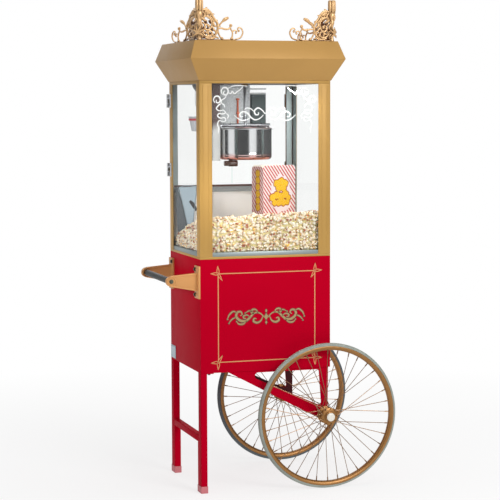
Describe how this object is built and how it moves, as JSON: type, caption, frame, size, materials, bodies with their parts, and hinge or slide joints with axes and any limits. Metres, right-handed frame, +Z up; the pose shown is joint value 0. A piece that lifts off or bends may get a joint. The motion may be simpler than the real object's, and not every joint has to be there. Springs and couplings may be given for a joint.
{
  "type": "popcorn maker",
  "caption": "Glass-sided popcorn cabinet with a tilting kettle and a mansard roof with corner scrollwork, on a tall two-wheeled cart with spoked wheels, legs and a push handle.",
  "frame": {"origin": "on the floor under the middle of the bounding box", "axes": "+X to the user's right seen from the front, from the handle to the wheels; +Y from the front glass to the rear doors; +Z up"},
  "size_m": [0.81, 0.5586, 1.684],
  "materials": {
    "red_paint": "glossy paint",
    "gold_paint": "satin gold paint",
    "copper_paint": "satin copper-gold plating",
    "ornament_gold": "polished casting with dark recesses",
    "stainless": "brushed",
    "polished": "polished",
    "steel": "turned",
    "bronze": "oiled bronze",
    "black_plastic": "matt",
    "dark_plastic": "gloss",
    "foot_rubber": "matt grey-pink",
    "tyre_rubber": "matt pale grey",
    "screw_steel": "blackened",
    "plate": "plain",
    "glass": "clear",
    "hammertone": "hammered grey paint",
    "dark_paint": "dark grey paint",
    "motor_paint": "grey paint",
    "heater": "cast",
    "red_switch": "gloss",
    "wood_knob": "satin",
    "lamp_cover": "gloss"
  },
  "bodies": {
    "machine": {"cart_box": "red_paint", "leg_front": "red_paint", "leg_rear": "red_paint", "leg_crossbar": "red_paint", "leg_feet": "foot_rubber", "wheel_brackets": "red_paint", "axle": "steel", "handle_brackets": "gold_paint", "handle_grip": "black_plastic", "cart_fasteners": "screw_steel", "rating_plate": "plate", "hinges_fixed": "polished", "base_frame": "gold_paint", "deck": "stainless", "glass_channels": "stainless", "posts_front": "gold_paint", "posts_rear": "gold_paint", "glass_front": "glass", "glass_sides": "glass", "head_rail": "gold_paint", "roof_shell": "gold_paint", "ornament_left": "ornament_gold", "ornament_right": "ornament_gold", "rear_panel": "stainless", "ceiling_plate": "stainless", "hanger_arm": "stainless", "bushes": "bronze", "control_box": "hammertone", "junction_box": "dark_paint", "drive_motor": "motor_paint", "kettle_lead": "black_plastic", "ceiling_lamp": "lamp_cover", "switch_panel": "stainless", "power_gland": "black_plastic"},
    "wheel_front_body": {"tyre_front": "tyre_rubber", "rim_front": "copper_paint", "spokes_front": "copper_paint", "hub_front": "copper_paint"},
    "wheel_rear_body": {"tyre_rear": "tyre_rubber", "rim_rear": "copper_paint", "spokes_rear": "copper_paint", "hub_rear": "copper_paint"},
    "tray": {"crumb_tray": "stainless"},
    "door_left": {"rear_door_left": "glass", "door_fittings_left": "polished"},
    "door_right": {"rear_door_right": "glass", "door_fittings_right": "polished"},
    "cupboard_door": {"storage_door": "red_paint", "storage_fittings": "polished"},
    "kettle": {"kettle_shell": "polished", "kettle_pan": "stainless", "kettle_heater": "heater", "kettle_trunnion": "steel", "kettle_lid": "polished", "dump_knob": "wood_knob"},
    "flap": {"lid_flap": "polished"},
    "stirrer": {"agitator": "steel"},
    "drive": {"drive_shaft": "copper_paint"},
    "switch_kettle": {"rocker_kettle": "red_switch"},
    "switch_motor": {"rocker_motor": "dark_plastic"}
  },
  "joints": [
    {"name": "wheel_front_spin", "type": "hinge", "parent": "machine", "child": "wheel_front_body", "pos_m": [0.151, -0.242, 0.254], "axis": [0, 1, 0], "continuous": true},
    {"name": "wheel_rear_spin", "type": "hinge", "parent": "machine", "child": "wheel_rear_body", "pos_m": [0.151, 0.242, 0.254], "axis": [0, 1, 0], "continuous": true},
    {"name": "kettle_tilt", "type": "hinge", "parent": "machine", "child": "kettle", "pos_m": [-0.07, -0.003, 1.258], "axis": [1, 0, 0], "range_deg": [0, 85]},
    {"name": "lid_flap_hinge", "type": "hinge", "parent": "kettle", "child": "flap", "pos_m": [-0.07, -0.015, 1.2499], "axis": [-1, 0, 0], "range_deg": [0, 90]},
    {"name": "drive_spin", "type": "hinge", "parent": "machine", "child": "drive", "pos_m": [-0.07, -0.003, 1.3], "axis": [0, 0, 1], "continuous": true},
    {"name": "stirrer_spin", "type": "hinge", "parent": "kettle", "child": "stirrer", "pos_m": [-0.07, -0.003, 1.2], "axis": [0, 0, 1], "continuous": true},
    {"name": "tray_slide", "type": "slide", "parent": "machine", "child": "tray", "axis": [0, 1, 0], "range_m": [0, 0.25]},
    {"name": "rear_door_left_hinge", "type": "hinge", "parent": "machine", "child": "door_left", "pos_m": [-0.2955, 0.199, 1.22], "axis": [0, 0, 1], "range_deg": [0, 110]},
    {"name": "rear_door_right_hinge", "type": "hinge", "parent": "machine", "child": "door_right", "pos_m": [0.1835, 0.199, 1.22], "axis": [0, 0, -1], "range_deg": [0, 110]},
    {"name": "storage_door_hinge", "type": "hinge", "parent": "machine", "child": "cupboard_door", "pos_m": [0.1835, 0.199, 0.66], "axis": [0, 0, -1], "range_deg": [0, 100]},
    {"name": "switch_kettle_rock", "type": "hinge", "parent": "machine", "child": "switch_kettle", "pos_m": [0.044, 0.2235, 1.5145], "axis": [-1, 0, 0], "range_deg": [0, 16]},
    {"name": "switch_motor_rock", "type": "hinge", "parent": "machine", "child": "switch_motor", "pos_m": [0.074, 0.2235, 1.5145], "axis": [-1, 0, 0], "range_deg": [0, 16]}
  ],
  "couplings": [
    {"joint": "stirrer_spin", "follows": "drive_spin", "ratio": 1}
  ]
}
